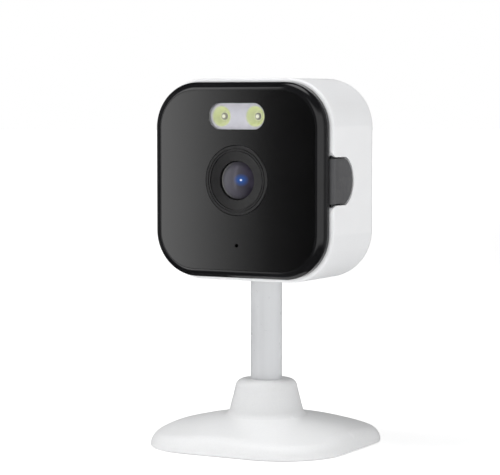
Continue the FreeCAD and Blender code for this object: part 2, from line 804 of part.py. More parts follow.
def lens_trim_ring():
    """Ring round the lens: a flat rim, two fine grooves and a shallow cone down to the glass."""
    rim = S["ring_radius"]
    groove, depth = S["ring_groove"], S["ring_groove_depth"]
    low = panel_back + touch
    proud, edge = 0.15, 0.15
    cone_drop, cone_start = 0.3, 0.1
    top = face + proud
    inner = S["glass_radius"] + 0.25
    first, second = rim - 0.75, rim - 1.35            # outer walls of the two grooves
    return turned("lens_trim_ring", "head", [
        (inner, low), (rim, low), (rim, top - edge), (rim - edge, top),
        (first, top), (first, top - depth), (first - groove, top - depth), (first - groove, top),
        (second, top), (second, top - depth), (second - groove, top - depth), (second - groove, top - cone_start),
        (inner, top - cone_drop),
    ])


def lens_barrel():
    """Threaded barrel that holds the three lens elements."""
    outer, glass = S["barrel_radius"], S["glass_radius"]
    relief, collar, floor = 0.2, 1.2, 1.2
    rear_opening = 2.6
    shoulder = lens_front - front_edge - slip
    return turned("lens_barrel", "head", [
        (rear_opening, lens_low), (outer - relief, lens_low), (outer - relief, lens_front - collar),
        (outer, lens_front - collar), (outer, lens_front), (glass + element_gap, lens_front),
        (glass + element_gap, shoulder), (lens_bore, shoulder), (lens_bore, lens_low + floor),
        (rear_opening, lens_low + floor),
    ])


def lens_element(label, radius, seat, edge, rise):
    """A plano-convex lens: flat on its seat, with a straight edge and a spherical front."""
    bulge = (radius * radius + rise * rise) / (2 * rise)
    return turned(label, "head", [
        (0, seat), (radius, seat), (radius, seat + edge, bulge), (0, seat + edge + rise),
    ])


def front_lens():
    """Domed front element."""
    return lens_element("front_lens", S["glass_radius"], front_seat, front_edge + front_stand, front_rise)


def middle_lens():
    return lens_element("middle_lens", S["element_radius"], middle_seat, middle_edge, middle_rise)


def rear_lens():
    return lens_element("rear_lens", S["element_radius"], rear_seat, rear_edge, rear_rise)


def lens_spacer():
    """Black iris that keeps the front element off the middle one."""
    low = middle_seat + middle_edge + middle_rise + slip
    high = front_seat - element_gap
    outer = S["element_radius"]
    return turned("lens_spacer", "head", [
        (S["iris_radius"], low), (outer, low), (outer, high), (S["iris_radius"], high),
    ])


def lens_holder():
    """Square foot with two screw posts on the board and the threaded sleeve for the barrel."""
    piece = Piece("lens_holder", "head")
    low = S["board_front"] + filter_depth + slip
    flange, post_radius, sleeve_wall = 1.5, 1.6, 1.2
    bore = S["barrel_radius"] - 0.15
    ear = S["holder_screw_y"] + post_radius + touch - S["holder_size"] / 2
    drawing = piece.sketch(low)
    rounded(drawing, S["holder_size"] + 1, S["holder_size"] + ear, size_of(1.5), size_of(0), ear / 2)
    circle(drawing, bore)
    piece.pad(drawing, flange)
    drawing = piece.sketch(low)
    circle(drawing, S["barrel_radius"] + sleeve_wall)
    circle(drawing, bore)
    piece.pad(drawing, lens_front - collar_seat - low)
    drawing = piece.sketch(S["board_front"] + touch)
    for x, y in holder_screw_places:
        circle(drawing, post_radius, x, y)
    piece.pad(drawing, low + flange / 2 - S["board_front"])
    drawing = piece.sketch(S["board_front"] + touch)
    for x, y in holder_screw_places:
        circle(drawing, holder_screw_radius + thread_fit, x, y)
    piece.pocket(drawing, holder_screw_reach + 0.3, reverse=True)
    return piece


collar_seat = 1.5                                     # sleeve's front end below the barrel's front
holder_screw_radius = 0.7
holder_screw_reach = 3.0


def filter_housing():
    """Frame over the image sensor in which the infrared filter slides."""
    piece = Piece("filter_housing", "head")
    low = S["board_front"] + 2 * touch
    width, height, wall = size_of(22.0), size_of(13.0), 0.8
    shift = size_of(-4.5)                             # the filter slides to this side
    drawing = piece.sketch(low)
    rounded(drawing, width, height, size_of(1.0), shift, size_of(0))
    piece.pad(drawing, filter_depth)
    drawing = piece.sketch(low)
    rectangle(drawing, width - 2 * wall, height - 2 * wall, shift, size_of(0))
    piece.pocket(drawing, filter_depth - wall, reverse=True)
    window_radius = 3.6
    drawing = piece.sketch(low + filter_depth)
    circle(drawing, window_radius)
    piece.pocket(drawing, wall + 0.2)
    return piece


def night_filter():
    """Infrared filter in its carrier, which slides aside at night."""
    def draw(drawing):
        rounded(drawing, size_of(8.6), size_of(9.0), size_of(0.8))
    return plate("night_filter", "head", draw, S["board_front"] + 1.6, size_of(0.8))


def filter_coil():
    """Coil that pulls the filter aside."""
    def draw(drawing):
        rounded(drawing, size_of(3.4), size_of(8.0), size_of(0.6), size_of(-12.6), size_of(0))
    return plate("filter_coil", "head", draw, S["board_front"] + 0.2, size_of(1.2))


def image_sensor():
    def draw(drawing):
        rectangle(drawing, size_of(7.2), size_of(6.4), size_of(0), size_of(0))
    return plate("image_sensor", "head", draw, S["board_front"] + touch, size_of(0.9))


# ---------------------------------------------------------------- front lamps, sensor and microphone

window_thickness = size_of(0.9)


def light_window():
    """Clear pill-shaped window of the spotlight, flush with the face."""
    def draw(drawing):
        pill(drawing, S["light_length"], S["light_width"], 0, S["light_height"])
    return plate("light_window", "head", draw, face - window_thickness, window_thickness)


def light_reflector():
    """Pale tray under the window with a cup for each lamp."""
    piece = Piece("light_reflector", "head")
    top = face - window_thickness - element_gap
    cup_floor = reflector_low + 0.6
    drawing = piece.sketch(reflector_low)
    pill(drawing, S["light_length"] - slip, S["light_width"] - slip, 0, S["light_height"])
    piece.pad(drawing, top - reflector_low)
    for x, y in lamp_places:
        sections = []
        for level, radius in ((top, S["cup_radius"]), (cup_floor, S["cup_floor_radius"])):
            drawing = piece.sketch(level)
            circle(drawing, radius, x, y)
            sections.append(drawing)
        piece.loft(sections, cut=True)
    drawing = piece.sketch(reflector_low)
    for x, y in lamp_places:
        circle(drawing, S["cup_floor_radius"], x, y)
    piece.pocket(drawing, cup_floor - reflector_low + slip, reverse=True)
    return piece


def spot_leds():
    """The two white lamps at the bottom of the cups: a round base and a small dome."""
    piece = Piece("spot_leds", "head")
    base, dome, dome_radius, dome_round = 0.7, 0.6, 0.8, size_of(0.55)
    low = reflector_low + touch
    drawing = piece.sketch(low)
    for x, y in lamp_places:
        circle(drawing, S["lamp_radius"], x, y)
    piece.pad(drawing, base)
    drawing = piece.sketch(low + base)
    for x, y in lamp_places:
        circle(drawing, dome_radius, x, y)
    piece.pad(drawing, dome)
    piece.round_at(low + base + dome, dome_round)
    return piece


def spot_board():
    """Board of the spotlight, against the reflector's back."""
    longer, taller = 3.6, 1.6
    def draw(drawing):
        pill(drawing, S["light_length"] + longer, S["light_width"] + taller, 0, S["light_height"])
    return plate("spot_board", "head", draw, reflector_low - S["thin_board"], S["thin_board"] - touch)


def infrared_board():
    """Board behind the smoked panel for the infrared lamps, the light sensor and the status light."""
    def draw(drawing):
        rounded(drawing, infrared_board_width, infrared_board_height, size_of(2.0))
        circle(drawing, S["barrel_radius"] + 1.6)
    return plate("infrared_board", "head", draw, infrared_board_front - S["thin_board"], S["thin_board"])


def infrared_leds():
    """Four infrared lamps: square bases with domes."""
    piece = Piece("infrared_leds", "head")
    base, dome, dome_round = 1.0, 1.2, size_of(1.1)
    low = infrared_board_front + touch
    drawing = piece.sketch(low)
    for x, y in infrared_places:
        rectangle(drawing, S["infrared_base"], S["infrared_base"], x, y)
    piece.pad(drawing, base)
    drawing = piece.sketch(low + base)
    for x, y in infrared_places:
        circle(drawing, S["infrared_dome"], x, y)
    piece.pad(drawing, dome)
    piece.round_at(low + base + dome, dome_round)
    return piece


def light_sensor():
    def draw(drawing):
        rectangle(drawing, size_of(2.0), size_of(1.6), S["infrared_x"], size_of(0))
    return plate("light_sensor", "head", draw, infrared_board_front + touch, size_of(0.9))


def status_light():
    def draw(drawing):
        rectangle(drawing, size_of(1.6), size_of(0.8), -S["infrared_x"], size_of(0))
    return plate("status_light", "head", draw, infrared_board_front + touch, size_of(0.7))


mic_low = front_inside - 2.3
mic_thickness = size_of(1.5)


def microphone():
    def draw(drawing):
        circle(drawing, S["mic_radius"], 0, -S["mic_drop"])
    return plate("microphone", "head", draw, mic_low, mic_thickness)


def microphone_boot():
    """Soft sleeve that seals the microphone to its hole."""
    piece = Piece("microphone_boot", "head")
    wall = 0.75
    step = mic_low + mic_thickness + element_gap
    drawing = piece.sketch(mic_low)
    circle(drawing, S["mic_radius"] + element_gap + wall, 0, -S["mic_drop"])
    circle(drawing, S["mic_radius"] + element_gap, 0, -S["mic_drop"])
    piece.pad(drawing, step - mic_low)
    drawing = piece.sketch(step)
    circle(drawing, S["mic_radius"] + element_gap + wall, 0, -S["mic_drop"])
    circle(drawing, S["mic_hole_radius"] + 0.3, 0, -S["mic_drop"])
    piece.pad(drawing, front_inside - touch - step)
    return piece


# ---------------------------------------------------------------- boards and rear parts

def main_board():
    """Main board with a notch for the ball socket and holes for the housing screws."""
    piece = Piece("main_board", "head")
    drawing = piece.sketch(board_back)
    rounded(drawing, board_width, board_height, inner_corner - S["board_margin"])
    for x, y in boss_places:
        circle(drawing, S["screw_radius"] + screw_clearance, x, y)
    for x, y in holder_screw_places:
        circle(drawing, holder_screw_radius + slip, x, y)
    piece.pad(drawing, S["board_thickness"])
    drawing = piece.sketch(S["board_front"])
    notch = cup_outer + 0.9
    top = S["ball_rise"] - half_height + cup_outer + 0.2
    low = -board_height / 2 - past
    outline(drawing, [(-notch, low), (notch, low), (notch, top), (-notch, top)])
    piece.pocket(drawing, S["board_thickness"] + 0.5)
    return piece


def holder_screws():
    """Two screws through the main board into the lens holder."""
    piece = Piece("holder_screws", "head")
    head_radius, head_height = 1.3, 0.88
    drawing = piece.sketch(board_back - head_height - touch)
    for x, y in holder_screw_places:
        circle(drawing, head_radius, x, y)
    piece.pad(drawing, head_height)
    drawing = piece.sketch(board_back - touch)
    for x, y in holder_screw_places:
        circle(drawing, holder_screw_radius, x, y)
    piece.pad(drawing, S["board_thickness"] + holder_screw_reach)
    return piece


chip_thickness = size_of(1.0)
pad_thickness = size_of(0.5)


def chip_square(size):
    """Draws a square of that size over the processor's place."""
    return lambda drawing: rectangle(drawing, size, size, S["chip_offset"], S["chip_offset"])


def processor():
    return plate("processor", "head", chip_square(S["chip_size"]), board_back - chip_thickness,
                 chip_thickness - touch)


def thermal_pad():
    return plate("thermal_pad", "head", chip_square(S["chip_size"] - 1), board_back - chip_thickness - pad_thickness,
                 pad_thickness - touch)


def heat_spreader():
    """Aluminium plate over the processor."""
    thickness = size_of(1.2)
    def draw(drawing):
        rounded(drawing, size_of(18.0), size_of(10.4), size_of(1.0), S["chip_offset"] + 3, S["chip_offset"])
    low = board_back - chip_thickness - pad_thickness - thickness
    return plate("heat_spreader", "head", draw, low, thickness - touch)


def radio_shield():
    """Tin can over the radio circuit."""
    piece = Piece("radio_shield", "head")
    width, height, depth, sheet_wall = size_of(12.0), size_of(9.5), size_of(1.9), 0.3
    x, y = size_of(-13.0), size_of(3.5)
    drawing = piece.sketch(board_back - depth)
    rounded(drawing, width, height, size_of(0.6), x, y)
    piece.pad(drawing, depth - touch)
    drawing = piece.sketch(board_back - touch)
    rectangle(drawing, width - 2 * sheet_wall, height - 2 * sheet_wall, x, y)
    piece.pocket(drawing, depth - touch - sheet_wall)
    return piece


def radio_antenna():
    """Flat flexible antenna stuck under the shell's top."""
    thickness, length, depth = size_of(0.3), size_of(24.0), size_of(6.5)
    def draw(drawing):
        rectangle(drawing, length, thickness, size_of(0), cavity_height / 2 - thickness / 2 - element_gap)
    return plate("radio_antenna", "head", draw, 1.0 - shell_inside_back, depth)


speaker_back = 1.0 - shell_inside_back


def speaker():
    """Round speaker: a basket with a dished cone towards the grille."""
    piece = Piece("speaker", "head")
    basket, magnet = 1.2, 2.6
    magnet_inset, cone_inset, cone_floor_inset, cone_depth = 2.5, 1.0, 6.0, 0.9
    drawing = piece.sketch(speaker_back)
    circle(drawing, S["speaker_radius"], 0, S["speaker_height"])
    piece.pad(drawing, basket)
    drawing = piece.sketch(speaker_back + basket)
    circle(drawing, S["speaker_radius"] - magnet_inset, 0, S["speaker_height"])
    piece.pad(drawing, magnet)
    sections = []
    for level, inset in ((speaker_back, cone_inset), (speaker_back + cone_depth, cone_floor_inset)):
        drawing = piece.sketch(level)
        circle(drawing, S["speaker_radius"] - inset, 0, S["speaker_height"])
        sections.append(drawing)
    piece.loft(sections, cut=True)
    return piece


def speaker_gasket():
    """Foam ring between the speaker and the shell's back."""
    width = 1.4
    def draw(drawing):
        circle(drawing, S["speaker_radius"], 0, S["speaker_height"])
        circle(drawing, S["speaker_radius"] - width, 0, S["speaker_height"])
    low = 2 * touch - shell_inside_back
    return plate("speaker_gasket", "head", draw, low, speaker_back - 2 * touch - low)


def usb_board_back():
    """Level of the power board's rear face, against the inner end of its socket."""
    return S["usb_recess"] - shell_back + S["usb_length"] + touch


def usb_socket():
    """Metal power socket with its tongue."""
    piece = Piece("usb_socket", "head")
    back = S["usb_recess"] - shell_back
    end_wall, tongue_recess, tongue_width, tongue_height = 1.0, 0.8, size_of(6.6), size_of(0.7)
    drawing = piece.sketch(back)
    pill(drawing, S["usb_width"], S["usb_height"], 0, -S["usb_drop"])
    piece.pad(drawing, S["usb_length"])
    drawing = piece.sketch(back)
    pill(drawing, S["usb_width"] - 2 * S["usb_wall"], S["usb_height"] - 2 * S["usb_wall"], 0, -S["usb_drop"])
    piece.pocket(drawing, S["usb_length"] - end_wall, reverse=True)
    drawing = piece.sketch(back + tongue_recess)
    rectangle(drawing, tongue_width, tongue_height, size_of(0), -S["usb_drop"])
    piece.pad(drawing, S["usb_length"] - tongue_recess - end_wall / 2)
    return piece


def usb_board():
    """Small board of the power socket, on two posts of the shell."""
    width, height = size_of(15.0), size_of(8.0)
    def draw(drawing):
        rounded(drawing, width, height, size_of(1.0), size_of(0), 0.5 - S["usb_drop"])
    return plate("usb_board", "head", draw, usb_board_back(), S["thin_board"])


# ---------------------------------------------------------------- ball joint

def ball_socket():
    """Cup inside the head that holds the ball, with a flange on the shell's floor."""
    lip = -S["cup_lip"]
    flange_top = flange_low + S["socket_flange"]
    piece = turned("ball_socket", "ball", [
        (chord(cup_inner, lip), lip, cup_inner), (cup_inner, 0, cup_inner), (0, cup_inner),
        (0, cup_outer, -cup_outer), (cup_outer, 0), (cup_outer, flange_top),
        (flange_radius, flange_top), (flange_radius, flange_low + touch),
        (mouth_radius - 0.6, flange_low + touch),
    ])
    drawing = piece.sketch(flange_top)
    for x, z in socket_screw_places():
        circle(drawing, socket_screw_radius + slip, x, -z)
    piece.pocket(drawing, S["socket_flange"] + 0.4)
    return piece


socket_screw_radius = 0.75


def socket_screws():
    """Three screws that hold the ball socket down on the shell's floor."""
    piece = Piece("socket_screws", "ball")
    head_radius, head_height, length = 1.35, 0.9, 2.9
    top = flange_low + S["socket_flange"] + touch
    drawing = piece.sketch(top)
    for x, z in socket_screw_places():
        circle(drawing, head_radius, x, -z)
    piece.pad(drawing, head_height)
    drawing = piece.sketch(top)
    for x, z in socket_screw_places():
        circle(drawing, socket_screw_radius, x, -z)
    piece.pad(drawing, length, reverse=True)
    return piece


def ball_liner():
    """Slippery ring between ball and cup. It turns on the ball, and the cup turns on it."""
    low, high = -S["liner_below"], S["liner_above"]
    return turned("ball_liner", "ball", [
        (chord(liner_inner, low), low), (chord(liner_outer, low), low, liner_outer), (liner_outer, 0, liner_outer),
        (chord(liner_outer, high), high), (chord(liner_inner, high), high, -liner_inner),
        (liner_inner, 0, -liner_inner),
    ])


def ball_stud():
    """Ball, neck and shank in one piece, pushed into the top of the post."""
    ball = S["ball_radius"]
    neck = S["post_radius"] - 0.15
    shoulder = post_top + touch - ball_z
    shank = S["post_bore"] - thread_fit
    return turned("ball_stud", "ball", [
        (0, ball), (0, shoulder - S["shank_length"]), (shank, shoulder - S["shank_length"]),
        (shank, shoulder), (neck, shoulder), (neck, -chord(ball, neck), ball), (ball, 0, ball),
    ])


# ---------------------------------------------------------------- post and foot

def post_tube():
    """Straight tube with a collar that keeps it in the hub."""
    low, bevel = S["post_low"], 0.3
    outer, bore = S["post_radius"], S["post_bore"]
    return turned("post_tube", "ground", [
        (bore, low), (outer, low), (outer, collar_low), (collar_radius, collar_low),
        (collar_radius, collar_top), (outer, collar_top), (outer, post_top - bevel), (outer - bevel, post_top),
        (bore, post_top),
    ])


def post_screw():
    """Screw up the post's bore that holds it down on its washer."""
    head_radius, head_height, length, recess = 3.4, 1.5, 14.0, 0.8
    seat = washer_low - touch
    shank = S["post_bore"] - slip
    piece = turned("post_screw", "ground", [
        (0, seat - head_height), (head_radius, seat - head_height), (head_radius, seat), (shank, seat),
        (shank, seat - head_height + length), (0, seat - head_height + length),
    ])
    drawing = piece.sketch(seat - head_height)
    arm, bar = size_of(1.8), size_of(0.4)
    outline(drawing, [
        (-arm, -bar), (-bar, -bar), (-bar, -arm), (bar, -arm), (bar, -bar), (arm, -bar),
        (arm, bar), (bar, bar), (bar, arm), (-bar, arm), (-bar, bar), (-arm, bar),
    ])
    piece.pocket(drawing, recess, reverse=True)
    return piece


def washer(label, inner, outer, low, high):
    return turned(label, "ground", [(inner, low), (outer, low), (outer, high), (inner, high)])


def thrust_washer():
    """Steel washer that the post's screw pulls against the foot of the bush."""
    return washer("thrust_washer", S["post_bore"] + slip, hub_bore - 1.2, washer_low, S["post_low"] - touch)


def wave_washer():
    """Spring washer under the post's collar that gives the swivel its drag."""
    low = collar_low - S["washer_thickness"] - 2 * touch
    return washer("wave_washer", S["post_radius"] + 0.3, collar_radius - 0.2, low, low + S["washer_thickness"])


def hub_bush():
    """Bush pressed into the hub from below, in which the foot of the post turns."""
    high = collar_low - S["washer_thickness"] - 4 * touch
    return washer("hub_bush", S["post_radius"] + S["running_gap"], hub_bore - 2 * touch, S["post_low"] + 0.25, high)


def dome_height(radius, below):
    """Height of the foot's spherical top at that distance from the axis, or of a sphere that far below it."""
    centre = S["foot_dome_edge"] - chord(S["dome_sphere"], S["foot_size"] / 2)
    return centre + chord(S["dome_sphere"] - below, radius)


def foot_shell():
    """White foot: a low dome on a rounded square, with a tapered hub round the post."""
    piece = Piece("foot_shell")
    reach = S["foot_size"] * 0.65                     # past the foot's corners
    drawing = piece.sketch(S["foot_lift"])
    rounded(drawing, S["foot_size"], S["foot_size"], S["foot_corner"])
    piece.pad(drawing, S["hub_top"])
    drawing = piece.sketch(plane="XZ")
    outline(drawing, [
        (0, dome_height(0, 0)), (0, S["hub_top"] * 2), (reach, S["hub_top"] * 2),
        (reach, dome_height(reach, 0), S["dome_sphere"]),
    ])
    piece.turn(drawing, cut=True)
    piece.round_above(S["foot_lift"], S["foot_round"])

    plate_room = 0.3
    drawing = piece.sketch(S["foot_lift"])
    rounded(drawing, plate_size + 2 * plate_room, plate_size + 2 * plate_room, plate_corner + plate_room)
    piece.pocket(drawing, plate_top - S["foot_lift"], reverse=True)
    shelf = ballast_radius + S["ballast_gap"]
    inside, start = hub_bore / 2, plate_top - 0.5
    keyhole_reach = keyhole_offset + S["keyhole_head"] + slip
    drawing = piece.sketch(plane="XZ")
    outline(drawing, [
        (inside, start), (keyhole_reach, start), (keyhole_reach, S["keyhole_roof"]), (shelf, S["keyhole_roof"]),
        (shelf, dome_height(shelf, S["foot_wall"]), S["dome_sphere"] - S["foot_wall"]),
        (inside, dome_height(inside, S["foot_wall"])),
    ])
    piece.turn(drawing, cut=True)

    drawing = piece.sketch(plate_top)
    for x, y in foot_screw_places:
        circle(drawing, S["boss_radius"] - 0.4, x, y)
    piece.pad(drawing, S["keyhole_roof"] - plate_top + 0.2)
    drawing = piece.sketch(plate_top)
    for x, y in foot_screw_places:
        circle(drawing, S["screw_radius"] + thread_fit, x, y)
    piece.pocket(drawing, S["foot_screw_length"] - past, reverse=True)

    top, fillet, shoulder = S["hub_top"], S["hub_foot_round"], S["hub_top_round"]
    outside = hub_wide + fillet
    root = S["foot_wall"] / 2                         # depth of the hub's underside in the wall
    bury = 0.02                                       # depth at which the hub's sweep leaves the dome
    drawing = piece.sketch(plane="XZ")
    outline(drawing, [
        (0, dome_height(0, root), root - S["dome_sphere"]), (outside, dome_height(outside, root)),
        (outside, dome_height(outside, bury), -fillet * 1.2), (hub_wide, dome_height(hub_wide, 0) + fillet * 0.75),
        (hub_slim + 0.15, top - shoulder, shoulder), (hub_slim - shoulder * 0.85, top), (0, top),
    ])
    piece.turn(drawing)

    drawing = piece.sketch(S["foot_lift"])
    circle(drawing, hub_bore)
    piece.pocket(drawing, top - S["hub_cap"] - S["foot_lift"], reverse=True)
    drawing = piece.sketch(top + past)
    circle(drawing, S["post_radius"] + S["running_gap"])
    piece.pocket(drawing, S["hub_cap"] + 2 * past)
    return piece


def keyholes(drawing):
    """Two holes for wall screws' heads, each with a narrow slot behind it."""
    wide, slim, reach = S["keyhole_head"], S["keyhole_slot"], S["keyhole_length"]
    neck = chord(wide, slim)
    for x in (-keyhole_offset, keyhole_offset):
        outline(drawing, [
            (x + slim, neck), (x + slim, reach, slim), (x, reach + slim, slim), (x - slim, reach),
            (x - slim, neck, wide), (x - wide, 0, wide), (x, -wide, wide), (x + wide, 0, wide),
        ])


def base_plate():
    """Cover under the foot with two keyholes for hanging it on a wall."""
    piece = Piece("base_plate")
    drawing = piece.sketch(plate_low)
    rounded(drawing, plate_size, plate_size, plate_corner)
    keyholes(drawing)
    for x, y in foot_screw_places:
        circle(drawing, S["screw_radius"] + screw_clearance, x, y)
    piece.pad(drawing, S["plate_thickness"])
    drawing = piece.sketch(plate_low)
    for x, y in foot_screw_places:
        circle(drawing, S["screw_head_radius"] + slip, x, y)
    piece.pocket(drawing, base_screw_head + 4 * touch, reverse=True)
    return piece


base_screw_head = 0.66


def rubber_pad():
    """Non-slip pad that the camera stands on."""
    piece = Piece("rubber_pad")
    inset = 0.6
    drawing = piece.sketch(0)
    rounded(drawing, plate_size - 2 * inset, plate_size - 2 * inset, plate_corner - inset)
    keyholes(drawing)
    piece.pad(drawing, S["pad_thickness"])
    return piece


def base_screws():
    """Four screws up through the base plate."""
    piece = Piece("base_screws")
    low = S["pad_thickness"] + 3 * touch
    drawing = piece.sketch(low)
    for x, y in foot_screw_places:
        circle(drawing, S["screw_head_radius"], x, y)
    piece.pad(drawing, base_screw_head)
    drawing = piece.sketch(low)
    for x, y in foot_screw_places:
        circle(drawing, S["screw_radius"], x, y)
    piece.pad(drawing, S["foot_screw_length"])
    return piece


def ballast():
    """Steel ring that keeps the foot down."""
    def draw(drawing):
        circle(drawing, ballast_radius)
        circle(drawing, hub_bore + 0.8)
    roof = dome_height(ballast_radius + S["ballast_gap"], S["foot_wall"])
    return plate("ballast", "ground", draw, plate_top + touch, roof - plate_top - 2 * touch)


PIECES = (
    rear_shell, front_body, front_panel, housing_seal, housing_screws, screw_caps, side_cover, card_socket,
    cover_pin, reset_button, reset_switch, lens_trim_ring, lens_barrel, front_lens, middle_lens, rear_lens,
    lens_spacer, lens_holder, filter_housing, night_filter, filter_coil, image_sensor, light_window,
    light_reflector, spot_leds, spot_board, infrared_board, infrared_leds, light_sensor, status_light,
    microphone, microphone_boot, main_board, holder_screws, processor, thermal_pad, heat_spreader, radio_shield,
    radio_antenna, speaker, speaker_gasket, usb_socket, usb_board, ball_socket, socket_screws, ball_liner,
    ball_stud, post_tube, post_screw, thrust_washer, wave_washer, hub_bush, foot_shell, base_plate,
    rubber_pad, base_screws, ballast,
)


def build():
    for make in PIECES:
        make()
    doc.recompute()
    failed = [o.Label for o in doc.Objects if "Invalid" in o.State or "Error" in o.State]
    broken = [b.Label for b in made if b.Shape.isNull() or not b.Shape.isValid() or not b.Shape.Solids]
    if failed or broken:
        raise RuntimeError(f"failed features: {failed}; broken shapes: {broken}")
    os.makedirs("parts", exist_ok=True)
    for body in made:
        body.Shape.exportStep(os.path.join("parts", body.Label + ".step"))
    print(f"wrote {len(made)} parts")


build()
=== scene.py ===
import math

import bmesh
import bpy
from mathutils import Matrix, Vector

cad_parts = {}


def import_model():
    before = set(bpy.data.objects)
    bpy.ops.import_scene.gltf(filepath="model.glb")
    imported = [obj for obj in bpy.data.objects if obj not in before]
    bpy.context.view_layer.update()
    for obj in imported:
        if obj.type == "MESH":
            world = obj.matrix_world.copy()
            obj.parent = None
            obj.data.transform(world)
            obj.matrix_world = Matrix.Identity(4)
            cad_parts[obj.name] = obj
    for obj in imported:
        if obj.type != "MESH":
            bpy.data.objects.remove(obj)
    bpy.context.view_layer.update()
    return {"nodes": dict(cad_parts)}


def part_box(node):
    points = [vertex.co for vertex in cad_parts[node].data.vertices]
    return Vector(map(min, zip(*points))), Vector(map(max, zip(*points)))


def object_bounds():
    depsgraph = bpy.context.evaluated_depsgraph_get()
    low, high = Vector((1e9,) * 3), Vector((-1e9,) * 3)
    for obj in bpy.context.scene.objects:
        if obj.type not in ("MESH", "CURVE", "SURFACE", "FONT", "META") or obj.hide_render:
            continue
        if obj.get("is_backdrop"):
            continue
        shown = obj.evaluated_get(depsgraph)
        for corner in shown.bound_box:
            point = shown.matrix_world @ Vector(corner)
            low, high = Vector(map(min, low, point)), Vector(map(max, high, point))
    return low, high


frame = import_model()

# Looks for the pedestal camera. Lengths are metres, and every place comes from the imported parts' own boxes.

MM = 0.001
nodes = frame["nodes"]


def middle(node):
    """Middle of a part's box."""
    low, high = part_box(node)
    return (low + high) / 2


# ---------------------------------------------------------------- node helpers

class Paint:
    """A material's node tree with short calls. The coordinates are metres in the object's own frame."""

    def __init__(self, name):
        self.material = bpy.data.materials.new(name)
        self.material.use_nodes = True
        self.tree = self.material.node_tree
        self.shader = self.tree.nodes["Principled BSDF"]
        self.output = self.tree.nodes["Material Output"]
        self.place = self.add("ShaderNodeTexCoord").outputs["Object"]

    def add(self, kind, **settings):
        """A new node with its settings."""
        node = self.tree.nodes.new(kind)
        for key, value in settings.items():
            setattr(node, key, value)
        return node

    def plug(self, node, inputs):
        """Sets or links a node's inputs, given by name or number."""
        for key, value in inputs.items():
            if isinstance(value, bpy.types.NodeSocket):
                self.tree.links.new(value, node.inputs[key])
            else:
                node.inputs[key].default_value = value
        return node

    def noise(self, size, detail=3.0, rough=0.55, place=None):
        """Noise whose blobs are about that many metres across."""
        node = self.add("ShaderNodeTexNoise")
        self.plug(node, {"Vector": place or self.place, "Scale": 1 / size})
        self.plug(node, {"Detail": detail, "Roughness": rough})
        return node.outputs["Fac"]

    def stretch(self, scale):
        """The coordinates scaled along each axis, for brushed and drawn marks."""
        node = self.add("ShaderNodeMapping")
        self.plug(node, {"Vector": self.place, "Scale": scale})
        return node.outputs["Vector"]

    def cells(self, size):
        """Distance from the nearest of scattered points about that many metres apart."""
        node = self.add("ShaderNodeTexVoronoi", feature="F1")
        self.plug(node, {"Vector": self.place, "Scale": 1 / size})
        return node.outputs["Distance"]

    def spread(self, value, low, high, start=0.3, end=0.7):
        """Maps a value from start..end to low..high."""
        node = self.add("ShaderNodeMapRange")
        self.plug(node, {"Value": value, "From Min": start, "From Max": end, "To Min": low, "To Max": high})
        return node.outputs["Result"]

    def blend(self, share, first, second):
        """Mixes two colours, each a tuple or a socket."""
        node = self.add("ShaderNodeMix", data_type="RGBA")
        colours = [c if isinstance(c, bpy.types.NodeSocket) else (*c, 1.0) for c in (first, second)]
        self.plug(node, {0: share, 6: colours[0], 7: colours[1]})
        return node.outputs[2]

    def clouds(self, size, first, second):
        """Two tones in soft blobs about that many metres across."""
        return self.blend(self.spread(self.noise(size), 0.0, 1.0), first, second)

    def join(self, first, second, operation="ADD"):
        """One number made of two."""
        node = self.add("ShaderNodeMath", operation=operation)
        self.plug(node, {0: first, 1: second})
        return node.outputs[0]

    def edges(self, low=0.5, high=0.56):
        """One along outward edges and nought elsewhere."""
        node = self.add("ShaderNodeNewGeometry")
        return self.spread(node.outputs["Pointiness"], 0.0, 1.0, low, high)

    def bump(self, value, depth, strength, under=None):
        """Relief of that depth in metres, laid over another relief where one is given."""
        node = self.add("ShaderNodeBump")
        inputs = {"Height": value, "Distance": depth, "Strength": strength}
        if under:
            inputs["Normal"] = under
        self.plug(node, inputs)
        return node.outputs["Normal"]

    def finish(self, **inputs):
        """Sets the surface shader's inputs and gives the material."""
        self.plug(self.shader, {key.replace("_", " "): value for key, value in inputs.items()})
        return self.material


def wear(*names):
    """Gives CAD nodes a material."""
    def dress(material):
        for name in names:
            mesh = nodes[name].data
            mesh.materials.clear()
            mesh.materials.append(material)
        return material
    return dress


def distance_from(paint, centre, axes=(1, 0, 1)):
    """Distance of a point from a line through centre, ignoring the axes whose share is nought."""
    shift = paint.add("ShaderNodeVectorMath", operation="SUBTRACT")
    paint.plug(shift, {0: paint.place, 1: tuple(centre)})
    keep = paint.add("ShaderNodeVectorMath", operation="MULTIPLY")
    paint.plug(keep, {0: shift.outputs[0], 1: axes})
    size = paint.add("ShaderNodeVectorMath", operation="LENGTH")
    paint.plug(size, {0: keep.outputs[0]})
    return size.outputs["Value"]


def from_lamps(paint):
    """Distance of a point from the axis of the nearer lamp."""
    low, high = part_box("spot_leds")
    radius = (high.z - low.z) / 2
    centre = middle("spot_leds")
    spans = [distance_from(paint, (x, centre.y, centre.z)) for x in (low.x + radius, high.x - radius)]
    return paint.join(*spans, "MINIMUM")


# ---------------------------------------------------------------- materials

